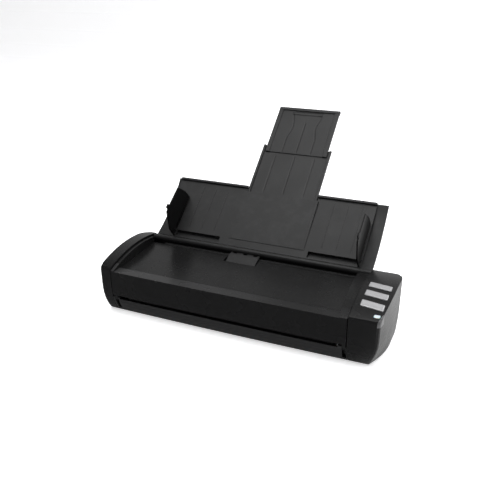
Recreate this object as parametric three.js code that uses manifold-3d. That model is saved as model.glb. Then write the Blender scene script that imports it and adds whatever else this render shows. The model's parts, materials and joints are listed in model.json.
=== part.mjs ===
// Sheet fed document scanner: a slim body with a sunken deck, a chute lid that
// folds back behind the feed slot, a two-stage chute extension and two guide fins.
// Millimetres, +X to the right, +Y to the back, +Z up; origin under the middle.
import * as THREE from 'three';
import { mergeVertices } from 'three/addons/utils/BufferGeometryUtils.js';
import Module from 'manifold-3d';

const wasm = await Module();
wasm.setup();

// ---------- driving dimensions ----------
const WALL = 2;
const RIGHT_END_X = 152.3;
const LEFT_END_SHIFT = 0.8;
const LEFT_END_FLATNESS = 0.15;
const LEFT_SEAM_X = -138;
const RIGHT_SEAM_X = 119.6;
const FRONT_Y = -45.5;
const REAR_Y = 49.5;
const CREASE_Z = 49.2;
const SHOULDER_Z = 53.4;
const CROWN = { y: 12, radius: 168, peak: 62 };
const LIP_BACK_Y = -33;
const DECK = { frontY: -31, frontZ: 48.4, rearY: 37.8, rearZ: 51.2 };
const EXIT_LIP_Z = 21.3;
const BASE_FRONT_TOP_Z = 16.8;
const BASE_REAR_TOP_Z = 51.4;
const FEED_CENTRE_X = -5;
const SHEET_HALF_WIDTH = 109;
const PATH = { y: -45, z: 18, slope: 0.378 };
const GUIDE_DROP = 1;

const PIVOT = { y: 45.5, z: 55.3 };
const LID_OPEN_DEG = 143;
const LID = { left: -137.2, right: 118.7, tipY: -37.5, skin: 1.6, barrel: 3.3, rimWall: 2.4 };
const PANEL = { u: 8, n: 0.5, slope: 0.036, thick: 1.2, left: -133, right: 106.5, root: -4, tip: 72.2 };
const HOOD = { left: -47, right: 42, back: -70, front: -8, top: 2.4, gap: 0.3 };

const STAGE_TILT_DEG = 4;
const STAGE = { tipU: 83, tipN: 3.8, half: 1.3 };
const STAGE_CENTRE_X = -2.5;
const LOWER = { halfWidth: 42, out: 60, length: 68, rail: 2.8, base: 0.8 };
const UPPER = { halfWidth: 38, out: 112.8, length: 62, bottom: -0.2, bar: 4.2, barLow: -2.2, barHigh: 1.7 };

const RACK = { module: 0.7, teeth: 8, axisS: 1.7, low: -2.9, high: -1.5 };
const FIN = {
  half: 0.8,
  axisM: 1.1,
  left: FEED_CENTRE_X - SHEET_HALF_WIDTH,
  right: FEED_CENTRE_X + SHEET_HALF_WIDTH,
};
const GUIDE_TRAVEL = 55;

const FEED = { y: 20, z: 34, r: 8, shaft: 2.5 };
const EXIT = { y: -28, z: 18, r: 6, shaft: 2 };
const DRIVE = { y: -2.7, z: 22.3 };
const MOTOR = { y: 15.3, z: 11.9, r: 9.5, left: 122.2, right: 146.5 };
const GEAR = { module: 0.8, left: 108.6, right: 112.2, roller: 24, drive: 40, pinion: 12 };
const PAD_CENTRE_X = -20;
const TYRES = [-38, -2];
const TYRE_HALF = 8;
const COVER_HINGE = { y: -33, z: 9, pin: 1.2 };
const FRAME_X = { left: -124, right: 106 };
const ARMS = [[-135.8, -131.8], [114.9, 118.5]];

// ---------- solids ----------
function toSolid(geometry) {
  const bare = geometry.clone();
  bare.deleteAttribute('normal');
  bare.deleteAttribute('uv');
  const merged = mergeVertices(bare, 1e-4);
  return new wasm.Manifold(new wasm.Mesh({
    numProp: 3,
    vertProperties: new Float32Array(merged.attributes.position.array),
    triVerts: new Uint32Array(merged.index.array),
  }));
}

function toGeometry(solid) {
  const mesh = solid.getMesh();
  const geometry = new THREE.BufferGeometry();
  geometry.setAttribute('position', new THREE.BufferAttribute(mesh.vertProperties, 3));
  geometry.setIndex(new THREE.BufferAttribute(mesh.triVerts, 1));
  geometry.computeVertexNormals();
  return geometry;
}

function join(first, ...others) {
  return others.reduce((whole, piece) => whole.add(piece), first);
}

function cut(first, ...others) {
  return others.reduce((whole, piece) => whole.subtract(piece), first);
}

function box(x0, x1, y0, y1, z0, z1) {
  const geometry = new THREE.BoxGeometry(x1 - x0, y1 - y0, z1 - z0);
  geometry.translate((x0 + x1) / 2, (y0 + y1) / 2, (z0 + z1) / 2);
  return toSolid(geometry);
}

function extruded(points, depth) {
  const shape = new THREE.Shape(points.map(([a, b]) => new THREE.Vector2(a, b)));
  return new THREE.ExtrudeGeometry(shape, { depth, bevelEnabled: false });
}

// outline given as [y, z] points, drawn out along X
function prismX(points, x0, x1) {
  const geometry = extruded(points, x1 - x0);
  const turn = new THREE.Matrix4().makeBasis(
    new THREE.Vector3(0, 1, 0), new THREE.Vector3(0, 0, 1), new THREE.Vector3(1, 0, 0));
  geometry.applyMatrix4(turn);
  geometry.translate(x0, 0, 0);
  return toSolid(geometry);
}

// outline given as [x, y] points, drawn out along Z
function prismZ(points, z0, z1) {
  const geometry = extruded(points, z1 - z0);
  geometry.translate(0, 0, z0);
  return toSolid(geometry);
}

function rodX(radius, x0, x1, y, z, sides = 24) {
  const geometry = new THREE.CylinderGeometry(radius, radius, x1 - x0, sides);
  geometry.rotateZ(Math.PI / 2);
  geometry.translate((x0 + x1) / 2, y, z);
  return toSolid(geometry);
}

function rodZ(radius, z0, z1, x, y, sides = 24) {
  const geometry = new THREE.CylinderGeometry(radius, radius, z1 - z0, sides);
  geometry.rotateX(Math.PI / 2);
  geometry.translate(x, y, (z0 + z1) / 2);
  return toSolid(geometry);
}

function arcPoints(cx, cy, radius, fromDeg, toDeg, steps) {
  return Array.from({ length: steps + 1 }, (_, i) => {
    const angle = THREE.MathUtils.degToRad(fromDeg + (toDeg - fromDeg) * i / steps);
    return [cx + radius * Math.cos(angle), cy + radius * Math.sin(angle)];
  });
}

function roundedRect(x0, x1, y0, y1, r, steps = 4) {
  return [
    ...arcPoints(x1 - r, y0 + r, r, -90, 0, steps),
    ...arcPoints(x1 - r, y1 - r, r, 0, 90, steps),
    ...arcPoints(x0 + r, y1 - r, r, 90, 180, steps),
    ...arcPoints(x0 + r, y0 + r, r, 180, 270, steps),
  ];
}

function gearOutline(teeth, module, phase) {
  const pitch = teeth * module / 2;
  const step = 2 * Math.PI / teeth;
  const flank = [[pitch - 1.2 * module, 0.35], [pitch + module, 0.11]];
  const points = [];
  for (let tooth = 0; tooth < teeth; tooth += 1) {
    const middle = phase + tooth * step;
    const at = (r, part) => [r * Math.cos(middle + part * step), r * Math.sin(middle + part * step)];
    flank.forEach(([r, half]) => points.push(at(r, -half)));
    [...flank].reverse().forEach(([r, half]) => points.push(at(r, half)));
  }
  return points;
}

function gearX(teeth, y, z, phase, bore) {
  const outline = gearOutline(teeth, GEAR.module, phase).map(([a, b]) => [y + a, z + b]);
  const wheel = prismX(outline, GEAR.left, GEAR.right);
  return bore ? cut(wheel, rodX(bore, GEAR.left - 1, GEAR.right + 1, y, z)) : wheel;
}

// phase of a driven wheel whose teeth mesh with a neighbour's at the angle between them
function meshPhase(angle, teeth, otherPhase, otherTeeth) {
  return angle + Math.PI + Math.PI / teeth - (otherPhase - angle) * otherTeeth / teeth;
}

// ---------- outer form of the body ----------
function crownZ(y) {
  return CROWN.peak - CROWN.radius + Math.sqrt(CROWN.radius ** 2 - (y - CROWN.y) ** 2);
}

function falling(z, height, power) {
  return Math.max(0, 1 - z / height) ** power;
}

function frontY(z) {
  if (z <= CREASE_Z) {
    return FRONT_Y + 9.5 * falling(z, 36.8, 2.7);
  }
  const rise = Math.min(1, (z - CREASE_Z) / (SHOULDER_Z - CREASE_Z));
  return FRONT_Y + 4 * (1 - Math.sqrt(1 - rise * rise));
}

function rearY(z) {
  return REAR_Y - 11 * falling(z, 18, 2);
}

// distance of the end face from the middle; the left end face is flatter than the right
function endX(y, z, flat) {
  const bulge = (2.6 + 8.2 * falling(z, 32, 2.2)) * flat;
  const front = bulge * (Math.max(0, 10 - y) / 45.5) ** 2;
  const rear = 7 * (Math.max(0, y - 34) / 15.5) ** 2;
  return RIGHT_END_X - 1.9 * flat * falling(z, 30, 2) - front - rear;
}

function planOutline(z, inset) {
  const corner = 3;
  const y0 = frontY(z) + inset;
  const y1 = rearY(z) - inset;
  const steps = 12;
  const endSide = (flat) => {
    const x = (y) => endX(y, z, flat) - inset;
    const front = x(y0 + corner);
    const side = [[front - corner, y0 + 0.7], [front - 0.3 * corner, y0 + 0.3 * corner + 0.5]];
    for (let i = 0; i <= steps; i += 1) {
      const y = y0 + corner + (y1 - y0 - corner - 1) * i / steps;
      side.push([x(y), y]);
    }
    side.push([x(y1) - 1.5, y1]);
    return side;
  };
  const right = endSide(1);
  const left = endSide(LEFT_END_FLATNESS).map(([x, y]) => [LEFT_END_SHIFT - x, y]).reverse();
  const from = left[left.length - 1][0];
  const to = right[0][0];
  const along = 12;
  const front = Array.from({ length: along - 1 }, (_, i) => {
    const part = (i + 1) / along;
    return [from + (to - from) * part, y0 - 0.7 + 1.4 * (2 * part - 1) ** 2];
  });
  return [...front, ...right, ...left];
}

const FINE_LEVELS = [0, 3, 7, 12, 17, 23, 30, 38, CREASE_Z, 50.6, 51.9, 52.9, SHOULDER_Z, 66];
const PLAIN_LEVELS = [0, 7, 17, 30, CREASE_Z, 51.9, SHOULDER_Z, 66];

function bodyForm(inset) {
  const levels = inset > 0 ? PLAIN_LEVELS : FINE_LEVELS;
  const outlines = levels.map((z, i) => {
    const height = i === 0 ? inset : z;
    return { height, points: planOutline(z, inset) };
  });
  const count = outlines[0].points.length;
  const positions = [];
  for (const { height, points } of outlines) {
    points.forEach(([x, y]) => positions.push(x, y, height));
  }
  const bottom = positions.length / 3;
  positions.push(0, 0, outlines[0].height);
  positions.push(0, 0, levels[levels.length - 1]);
  const index = [];
  for (let level = 0; level + 1 < levels.length; level += 1) {
    for (let j = 0; j < count; j += 1) {
      const a = level * count + j;
      const b = level * count + (j + 1) % count;
      index.push(a, b, b + count, a, b + count, a + count);
    }
  }
  const top = (levels.length - 1) * count;
  for (let j = 0; j < count; j += 1) {
    const next = (j + 1) % count;
    index.push(next, j, bottom, top + j, top + next, bottom + 1);
  }
  const geometry = new THREE.BufferGeometry();
  geometry.setAttribute('position', new THREE.Float32BufferAttribute(positions, 3));
  geometry.setIndex(index);
  return toSolid(geometry).intersect(underCrown(inset));
}

function crownLine(inset, y0, y1, steps) {
  return Array.from({ length: steps + 1 }, (_, i) => {
    const y = y0 + (y1 - y0) * i / steps;
    return [y, crownZ(y) - inset];
  });
}

function underCrown(inset) {
  return prismX([...crownLine(inset, 60, -60, 36), [-60, -8], [60, -8]], -170, 170);
}

const outer = bodyForm(0);
const inner = bodyForm(WALL);
const skin = cut(outer, inner);

// ---------- scene ----------
const scanner = new THREE.Group();

function finish(color, roughness, metalness = 0) {
  return new THREE.MeshStandardMaterial({ color, roughness, metalness });
}

const FINISHES = {
  gloss: () => finish('#1b1b1d', 0.28),
  satin: () => finish('#242426', 0.5),
  matte: () => finish('#303032', 0.65),
  button: () => finish('#b8babc', 0.35),
  light: () => finish('#e8eef2', 0.2),
  steel: () => finish('#b4b6b8', 0.3, 1),
  rubber: () => finish('#2c2c2c', 0.85),
  white: () => finish('#f0f0ee', 0.6),
  nylon: () => finish('#dcdcd4', 0.5),
  board: () => finish('#1f5a34', 0.6),
  glass: () => finish('#a8c0c4', 0.05),
};

function add(name, solid, finishName, group = scanner) {
  const mesh = new THREE.Mesh(toGeometry(solid), FINISHES[finishName]());
  mesh.name = name;
  group.add(mesh);
}

// ---------- end caps ----------
const BUTTON = { left: 125.6, right: 147.8, half: 4.4, clear: 0.35, stand: 0.7, thick: 2.6, skew: 3 };
const BUTTON_YS = [6.1, -9.7, -25.8];
const LIGHT = { x: 144, y: -38.4, halfX: 2.9, halfY: 1.8 };
const CAP_WALL_LOW_Z = 46;
const HINGE_PIN_R = 1.5;

function tiltedOnCrown(solid, x, y, lift = 0) {
  const lean = Math.asin((y - CROWN.y) / CROWN.radius);
  const turn = new THREE.Matrix4().makeRotationX(-lean);
  turn.setPosition(x, y, crownZ(y) + lift);
  return solid.transform([...turn.elements]);
}

function buttonOutline(grow) {
  const half = (BUTTON.right - BUTTON.left) / 2 + grow;
  const outline = roundedRect(-half, half, -BUTTON.half - grow, BUTTON.half + grow, 1.6 + grow);
  return outline.map(([x, y]) => [x, y - BUTTON.skew * x / (2 * half)]);
}

const buttonMiddleX = (BUTTON.left + BUTTON.right) / 2;

function lightOutline(grow) {
  const halfX = LIGHT.halfX + grow;
  const halfY = LIGHT.halfY + grow;
  return roundedRect(-halfX, halfX, -halfY, halfY, 1.7 + grow);
}

function sideWall(x0, x1) {
  return outer.intersect(box(x0, x1, -60, 60, CAP_WALL_LOW_Z, 70));
}

function endCaps() {
  const left = join(skin.intersect(box(-160, LEFT_SEAM_X, -60, 60, -5, 70)),
    sideWall(LEFT_SEAM_X - WALL, LEFT_SEAM_X));
  const leftBore = rodX(HINGE_PIN_R + 0.1, LEFT_SEAM_X - 4, LEFT_SEAM_X + 1, PIVOT.y, PIVOT.z);
  add('left_end_cap', cut(left, leftBore), 'gloss');

  let right = join(skin.intersect(box(RIGHT_SEAM_X, 160, -60, 60, -5, 70)),
    sideWall(RIGHT_SEAM_X, RIGHT_SEAM_X + WALL));
  for (const y of BUTTON_YS) {
    right = right.subtract(tiltedOnCrown(prismZ(buttonOutline(BUTTON.clear), -5, 5), buttonMiddleX, y));
  }
  right = right.subtract(tiltedOnCrown(prismZ(lightOutline(0.2), -5, 5), LIGHT.x, LIGHT.y));
  const rightBore = rodX(HINGE_PIN_R + 0.1, RIGHT_SEAM_X - 1, RIGHT_SEAM_X + 4, PIVOT.y, PIVOT.z);
  add('right_end_cap', cut(right, rightBore), 'gloss');

  const strip = cut(bodyForm(-0.45), bodyForm(-0.05));
  const band = prismZ([[151.9, -36.5], [148.6, -48.5], [145.2, -48.5], [148.9, -35.6]], 46.5, 60);
  add('corner_trim', strip.intersect(band), 'matte');
}

function controls() {
  add('status_light', tiltedOnCrown(prismZ(lightOutline(0), -2.2, 0.25), LIGHT.x, LIGHT.y), 'light');
  const names = ['rear', 'middle', 'front'];
  const switches = [];
  BUTTON_YS.forEach((y, i) => {
    const plate = prismZ(buttonOutline(0), BUTTON.stand - BUTTON.thick, BUTTON.stand);
    const stem = box(-2, 2, -2, 2, -6.4, BUTTON.stand - BUTTON.thick + 0.1);
    add(`button_${names[i]}`, tiltedOnCrown(join(plate, stem), buttonMiddleX, y), 'button');
    switches.push(box(buttonMiddleX - 3, buttonMiddleX + 3, y - 3, y + 3, 48.5, crownZ(y) - 7.6));
  });
  add('control_board', join(box(124.5, 146, -33, 18, 47, 48.6), ...switches), 'board');
}

endCaps();
controls();

// ---------- base ----------
function pathZ(y) {
  return PATH.z + PATH.slope * (y - PATH.y);
}

const SOCKETS = { data: { x: -96, w: 12, z0: 16, z1: 21 }, power: { x: -76, w: 9, z0: 15, z1: 24 } };

function base() {
  const left = LEFT_SEAM_X + 0.3;
  const right = RIGHT_SEAM_X - 0.3;
  let shell = skin.intersect(box(left, right, -60, 60, -5, BASE_REAR_TOP_Z));
  shell = shell.subtract(box(-160, 160, -60, 30, BASE_FRONT_TOP_Z, 70));
  const corner = (x0, x1) => outer.intersect(box(x0, x1, -60, -39.5, 1, 18.8));
  shell = join(shell, corner(left, -130), corner(111, right));
  const armSlots = ARMS.map(([x0, x1]) => box(x0 - 0.2, x1 + 0.2, -60, -24, 3.5, 30));
  shell = cut(shell, ...armSlots);
  for (const x0 of [-131.2, 112.7]) {
    const post = box(x0, x0 + 1.7, -37, -29, 1.5, 13);
    shell = shell.add(cut(post, rodX(COVER_HINGE.pin + 0.1, x0 - 1, x0 + 3, COVER_HINGE.y, COVER_HINGE.z)));
  }
  for (const { x, w, z0, z1 } of Object.values(SOCKETS)) {
    shell = shell.subtract(box(x - w / 2 - 0.3, x + w / 2 + 0.3, 44, 52, z0 - 0.3, z1 + 0.3));
  }
  const ribs = [-60, 0, 60].map((x) => outer.intersect(box(x, x + 1.6, 43, 48.5, 1, 46)));
  shell = join(shell, ...ribs);
  const pocket = box(-30, 30, -20, 20, -1, 0.6);
  const pad = box(-10, 14, -9, 13, 0, 1);
  shell = join(cut(shell, pocket), pad);
  for (const x of SCREW_XS) {
    shell = shell.subtract(rodZ(3.4, -1, 1.2, x, SCREW_Y));
    shell = shell.subtract(rodZ(1.7, -1, 5, x, SCREW_Y));
  }
  add('base_shell', shell, 'satin');

  for (const [name, { x, w, z0, z1 }] of Object.entries(SOCKETS)) {
    const block = box(x - w / 2, x + w / 2, 38, 48.4, z0, z1);
    const mouth = box(x - w / 2 + 1, x + w / 2 - 1, 41, 50, z0 + 1, z1 - 1);
    add(`${name}_socket`, cut(block, mouth), 'steel');
  }
}

const SCREW_XS = [-100, 84];
const SCREW_Y = 14;

function feetAndScrews() {
  const places = {
    front_left: [-120, -28],
    front_right: [132, -28],
    rear_left: [-120, 28],
    rear_right: [132, 28],
  };
  for (const [name, [x, y]] of Object.entries(places)) {
    add(`foot_${name}`, rodZ(5, -1.2, 0, x, y, 20), 'rubber');
  }
  SCREW_XS.forEach((x, i) => {
    const head = rodZ(2.9, 0.1, 1.1, x, SCREW_Y, 20);
    const shank = rodZ(1.5, 0.5, 6.5, x, SCREW_Y, 16);
    const cross = join(box(x - 1.6, x + 1.6, SCREW_Y - 0.3, SCREW_Y + 0.3, 0, 0.6),
      box(x - 0.3, x + 0.3, SCREW_Y - 1.6, SCREW_Y + 1.6, 0, 0.6));
    add(`bottom_screw_${i + 1}`, cut(join(head, shank), cross), 'steel');
  });
}

base();
feetAndScrews();

// ---------- front cover ----------
function deckZ(y) {
  const part = (y - DECK.frontY) / (DECK.rearY - DECK.frontY);
  return DECK.frontZ + part * (DECK.rearZ - DECK.frontZ);
}

const RIM_BELOW_CROWN = 2.1;
const NOTCH = { left: PAD_CENTRE_X - 19, right: PAD_CENTRE_X + 19, frontY: 23.5 };
const PINCH = { y: -31.7, z: 27.8, r: 4, axle: 1.4 };
const BRACKET_XS = [TYRES[0] - TYRE_HALF - 3.5, TYRES[1] + TYRE_HALF + 1.5];

function frontCover() {
  const left = LEFT_SEAM_X + 0.7;
  const right = RIGHT_SEAM_X - 0.9;
  const over = prismX([
    [-60, EXIT_LIP_Z], [-60, CREASE_Z], [LIP_BACK_Y, CREASE_Z], [DECK.frontY, DECK.frontZ],
    [DECK.rearY, DECK.rearZ], [DECK.rearY, EXIT_LIP_Z],
  ], left, right);
  const under = prismX([
    [-60, EXIT_LIP_Z - 3], [-60, CREASE_Z - 2.2], [LIP_BACK_Y, CREASE_Z - 2.2],
    [DECK.frontY, DECK.frontZ - 2], [24, deckZ(24) - 2], [DECK.rearY + 1, DECK.rearZ - 0.7],
    [DECK.rearY + 1, EXIT_LIP_Z - 3],
  ], left - 1, right + 1);
  let cover = cut(outer.intersect(over), bodyForm(2.2).intersect(under));

  const rims = [
    [[111.5, -60], [right, -60], [right, DECK.rearY], [107, DECK.rearY]],
    [[left, -60], [-133.5, -60], [-134.2, DECK.rearY], [left, DECK.rearY]],
  ];
  for (const plan of rims) {
    const rim = prismZ(plan, 47.5, 70).intersect(underCrown(RIM_BELOW_CROWN)).intersect(outer);
    cover = cover.add(rim);
  }
  for (const [x0, x1] of ARMS) {
    const arm = prismX([[-36, 6.5], [-30, 6.5], [-30, 47.5], [-60, 47.5], [-60, 15.5], [-37.5, 15.5]], x0, x1);
    const hole = rodX(COVER_HINGE.pin + 0.1, x0 - 1, x1 + 1, COVER_HINGE.y, COVER_HINGE.z);
    cover = cover.add(cut(arm.intersect(outer), hole));
  }
  for (const x0 of BRACKET_XS) {
    const bracket = box(x0, x0 + 2, PINCH.y - 4, PINCH.y + 4, 24.4, 47.5);
    cover = cover.add(cut(bracket, rodX(PINCH.axle + 0.15, x0 - 1, x0 + 3, PINCH.y, PINCH.z)));
  }
  cover = cut(cover, box(NOTCH.left, NOTCH.right, NOTCH.frontY, 45, 44, 60));
  add('front_cover', cover, 'gloss');
}

// quadrilateral standing on the sheet path between two offsets above it
function overPath(y0, y1, low, high, x0, x1) {
  const points = [[y0, pathZ(y0) + low], [y1, pathZ(y1) + low], [y1, pathZ(y1) + high], [y0, pathZ(y0) + high]];
  return prismX(points, x0, x1);
}

function coverFittings() {
  const plate = overPath(-12, 4, 0.5, 2, -113, 101);
  const hangers = [-90, 78].map((x) => {
    return cut(box(x, x + 8, -8, 0, 34, deckZ(0) - 2.6), overPath(-20, 20, -20, 1, x - 1, x + 9));
  });
  add('background_plate', join(plate, ...hangers), 'white');

  const axleLeft = BRACKET_XS[0] - 3;
  const axleRight = BRACKET_XS[1] + 5;
  add('pinch_roller_axle', rodX(PINCH.axle, axleLeft, axleRight, PINCH.y, PINCH.z, 16), 'steel');
  TYRES.forEach((x, i) => {
    const ring = rodX(PINCH.r, x - 7, x + 7, PINCH.y, PINCH.z);
    const bore = rodX(PINCH.axle + 0.1, x - 8, x + 8, PINCH.y, PINCH.z, 16);
    add(`pinch_roller_${i ? 'right' : 'left'}`, cut(ring, bore), 'nylon');
  });

  const halfPad = 17;
  const holder = prismX([
    [12, pathZ(12) + 2.2], [41.4, pathZ(41.4) + 2.2], [41.7, 54.1], [37, 53.6], [24.6, 48.2], [12, 43.9],
  ], PAD_CENTRE_X - halfPad, PAD_CENTRE_X + halfPad);
  const teeth = [-12, 0, 12].map((x) => box(PAD_CENTRE_X + x - 2.5, PAD_CENTRE_X + x + 2.5, 39.4, 45, 50, 60));
  add('separation_pad_holder', cut(holder, ...teeth), 'satin');
  add('separation_pad', overPath(12.5, 22, 0.4, 1.8, PAD_CENTRE_X - 15, PAD_CENTRE_X + 15), 'rubber');
  add('separation_spring', prismX([
    [12.3, 47.7], [12.3, 47.3], [15.4, 45.7], [18.6, 47.7], [18.6, 48.1], [15.4, 46.1],
  ], PAD_CENTRE_X - 4, PAD_CENTRE_X + 4), 'steel');
}

frontCover();
coverFittings();

// ---------- sheet path and drive ----------
function lowerGuide() {
  let plate = overPath(-40, 43.4, -GUIDE_DROP - 2, -GUIDE_DROP, -121.5, 105.5);
  const windows = [box(-113.6, 101.9, -13.4, 5.6, 0, 80), box(57.5, 62.5, 23.5, 37, 0, 80)];
  for (const x of TYRES) {
    const half = TYRE_HALF + 0.8;
    windows.push(box(x - half, x + half, 8.5, 25.5, 0, 80), box(x - half, x + half, -36.5, -23.5, 0, 80));
  }
  plate = cut(plate, ...windows);
  const ribs = [-104, -78, 24, 50, 74, 96].map((x) => {
    return overPath(-39.5, -15, -GUIDE_DROP - 0.5, -0.4, x, x + 1.4);
  });
  add('lower_paper_guide', join(plate, ...ribs), 'satin');
}

function sideFrames() {
  const top = (y) => pathZ(y) - GUIDE_DROP - 2.6;
  const outline = [[-32, 2.4], [-35, 8], [-35, top(-35)], [44, top(44)], [44, 20], [36, 2.3]];
  for (const [side, x0] of Object.entries(FRAME_X)) {
    let frame = prismX(outline, x0, x0 + 2);
    frame = frame.subtract(rodX(FEED.shaft + 1.6, x0 - 1, x0 + 3, FEED.y, FEED.z));
    frame = frame.subtract(rodX(EXIT.shaft + 0.1, x0 - 1, x0 + 3, EXIT.y, EXIT.z));
    if (side === 'right') {
      frame = frame.add(rodX(2, x0 + 1, GEAR.right + 0.5, DRIVE.y, DRIVE.z));
    }
    add(`${side}_side_frame`, frame, 'steel');
    const bush = rodX(FEED.shaft + 1.5, x0 - 0.6, x0 + 2.3, FEED.y, FEED.z);
    const bore = rodX(FEED.shaft + 0.1, x0 - 2, x0 + 4, FEED.y, FEED.z);
    add(`feed_bush_${side}`, cut(bush, bore), 'nylon');
  }
}

function rollerSet(name, { y, z, r, shaft }) {
  add(`${name}_shaft`, rodX(shaft, FRAME_X.left - 3, GEAR.right + 0.4, y, z), 'steel');
  TYRES.forEach((x, i) => {
    const tyre = rodX(r, x - TYRE_HALF, x + TYRE_HALF, y, z, 28);
    const bore = rodX(shaft + 0.1, x - TYRE_HALF - 1, x + TYRE_HALF + 1, y, z);
    add(`${name}_tyre_${i ? 'right' : 'left'}`, cut(tyre, bore), 'rubber');
  });
}

function gearTrain() {
  const toward = (wheel) => Math.atan2(wheel.z - DRIVE.z, wheel.y - DRIVE.y);
  add('drive_gear', gearX(GEAR.drive, DRIVE.y, DRIVE.z, 0, 2.2), 'nylon');
  for (const [name, wheel] of Object.entries({ feed: FEED, exit: EXIT })) {
    const phase = meshPhase(toward(wheel), GEAR.roller, 0, GEAR.drive);
    add(`${name}_gear`, gearX(GEAR.roller, wheel.y, wheel.z, phase, wheel.shaft + 0.1), 'nylon');
  }
  const phase = meshPhase(toward(MOTOR), GEAR.pinion, 0, GEAR.drive);
  const shaft = rodX(1, GEAR.right - 1, MOTOR.left - 0.3, MOTOR.y, MOTOR.z, 16);
  add('motor_pinion', join(gearX(GEAR.pinion, MOTOR.y, MOTOR.z, phase), shaft), 'steel');
  const can = rodX(MOTOR.r, MOTOR.left, MOTOR.right, MOTOR.y, MOTOR.z, 32);
  add('drive_motor', can, 'steel');
}

function sensing() {
  const slopeDeg = THREE.MathUtils.radToDeg(Math.atan(PATH.slope));
  const place = (solid) => solid.rotate([slopeDeg, 0, 0]).translate([0, -4, pathZ(-4) - GUIDE_DROP]);
  add('image_sensor', place(box(-113, 101.3, -7.5, 7.5, -13.6, -1.6)), 'matte');
  add('sensor_glass', place(box(-112, 100.3, -6, 6, -1.3, 0.1)), 'glass');

  const hub = rodX(2, 58.2, 61.8, 32, 38, 16);
  const arm = prismX([[31, 36], [33, 36], [32.8, 48.1], [31.4, 48.1]], 59, 61);
  const flag = prismX([[31, 38], [33, 38], [34, 30], [30, 30]], 59, 61);
  add('paper_sensor_lever', join(hub, arm, flag), 'matte');

  const board = box(-110, -10, -18, 33, 8, 9.6);
  const chips = [[-90, 0, 14], [-60, 10, 18], [-32, -6, 10]].map(([x, y, w]) => {
    return box(x, x + w, y, y + w, 9.5, 11.4);
  });
  add('main_board', join(board, ...chips), 'board');
}

function hingePins() {
  const half = HINGE_PIN_R;
  add('chute_hinge_pin_left', rodX(half, LEFT_SEAM_X - 4, -129.5, PIVOT.y, PIVOT.z, 16), 'steel');
  add('chute_hinge_pin_right', rodX(half, 111, RIGHT_SEAM_X + 4, PIVOT.y, PIVOT.z, 16), 'steel');
  const { y, z, pin } = COVER_HINGE;
  add('cover_hinge_pin_left', rodX(pin, -135.6, -129.2, y, z, 16), 'steel');
  add('cover_hinge_pin_right', rodX(pin, 112.6, 118.6, y, z, 16), 'steel');
}

lowerGuide();
sideFrames();
rollerSet('feed', FEED);
rollerSet('exit', EXIT);
gearTrain();
sensing();
hingePins();

// ---------- chute lid, drawn closed about its pivot and opened by its group ----------
// (u, n): u from the pivot towards the lid's tip, n out of the side the sheet lies on
const chute = new THREE.Group();
chute.position.set(0, PIVOT.y, PIVOT.z);
chute.rotation.x = THREE.MathUtils.degToRad(-LID_OPEN_DEG);
scanner.add(chute);

function lidBox(x0, x1, s0, s1, m0, m1) {
  return box(x0, x1, -s1, -s0, -m1, -m0);
}

function lidPrism(points, x0, x1) {
  return prismX(points.map(([s, m]) => [-s, -m]), x0, x1);
}

function inPanel(solid) {
  const tilt = THREE.MathUtils.radToDeg(Math.atan(PANEL.slope));
  return solid.rotate([tilt, 0, 0]).translate([0, -PANEL.u, -PANEL.n]);
}

function inStage(solid) {
  return solid.rotate([STAGE_TILT_DEG, 0, 0]).translate([0, -STAGE.tipU, -STAGE.tipN]);
}

function chuteLid() {
  const fromPivot = (solid) => solid.translate([0, -PIVOT.y, -PIVOT.z]);
  const band = (inset0, inset1, y0, y1) => [
    ...crownLine(inset0, y0, y1, 22), ...crownLine(inset1, y0, y1, 22).reverse(),
  ];
  const roof = prismX(band(0, LID.skin, LID.tipY, PIVOT.y), LID.left, LID.right);
  const tipPlate = prismX([[LID.tipY, 49.8], [LID.tipY + LID.rimWall, 49.8],
    [LID.tipY + LID.rimWall, 54.4], [LID.tipY, 54]], PANEL.left, PANEL.right);
  const barrel = rodX(LID.barrel, LID.left, LID.right, PIVOT.y, PIVOT.z, 28);
  const halfMouth = LOWER.halfWidth + 0.6;
  const mouth = inStage(lidBox(STAGE_CENTRE_X - halfMouth, STAGE_CENTRE_X + halfMouth, -5, 5, -1.55, 6));
  const bores = [[LID.left - 1, -129], [110.5, LID.right + 1]].map(([x0, x1]) => {
    return rodX(HINGE_PIN_R + 0.2, x0, x1, 0, 0, 16);
  });
  const lid = cut(fromPivot(join(roof, tipPlate, barrel)), mouth, ...bores);
  add('chute_lid', lid, 'satin', chute);
}

function chutePanel() {
  const { left, right, root, tip, thick } = PANEL;
  const plate = inPanel(lidBox(left, right, root, tip, -thick, 0));
  const hood = inStage(lidBox(HOOD.left, HOOD.right, HOOD.back, HOOD.front, -3, HOOD.top))
    .intersect(inPanel(lidBox(left, right, root, tip, -thick, 9)));
  const half = LOWER.halfWidth + 0.5;
  const tunnel = inStage(lidBox(STAGE_CENTRE_X - half, STAGE_CENTRE_X + half,
    -LOWER.length - 0.6, 20, -12, STAGE.half + HOOD.gap));
  const slotEnds = [
    [FIN.right - GUIDE_TRAVEL - 1.7, FIN.right + 1.7],
    [FIN.left - 1.7, FIN.left + GUIDE_TRAVEL + 1.7],
  ];
  const slots = slotEnds.map(([x0, x1]) => inPanel(lidBox(x0, x1, -2.9, 4.9, -9, 9)));
  const pin = inPanel(rodZ(0.8, -(-thick + 0.1), -RACK.low, FEED_CENTRE_X, -RACK.axisS, 16));
  add('chute_panel', join(cut(join(plate, hood), tunnel, ...slots), pin), 'satin', chute);
}

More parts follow.
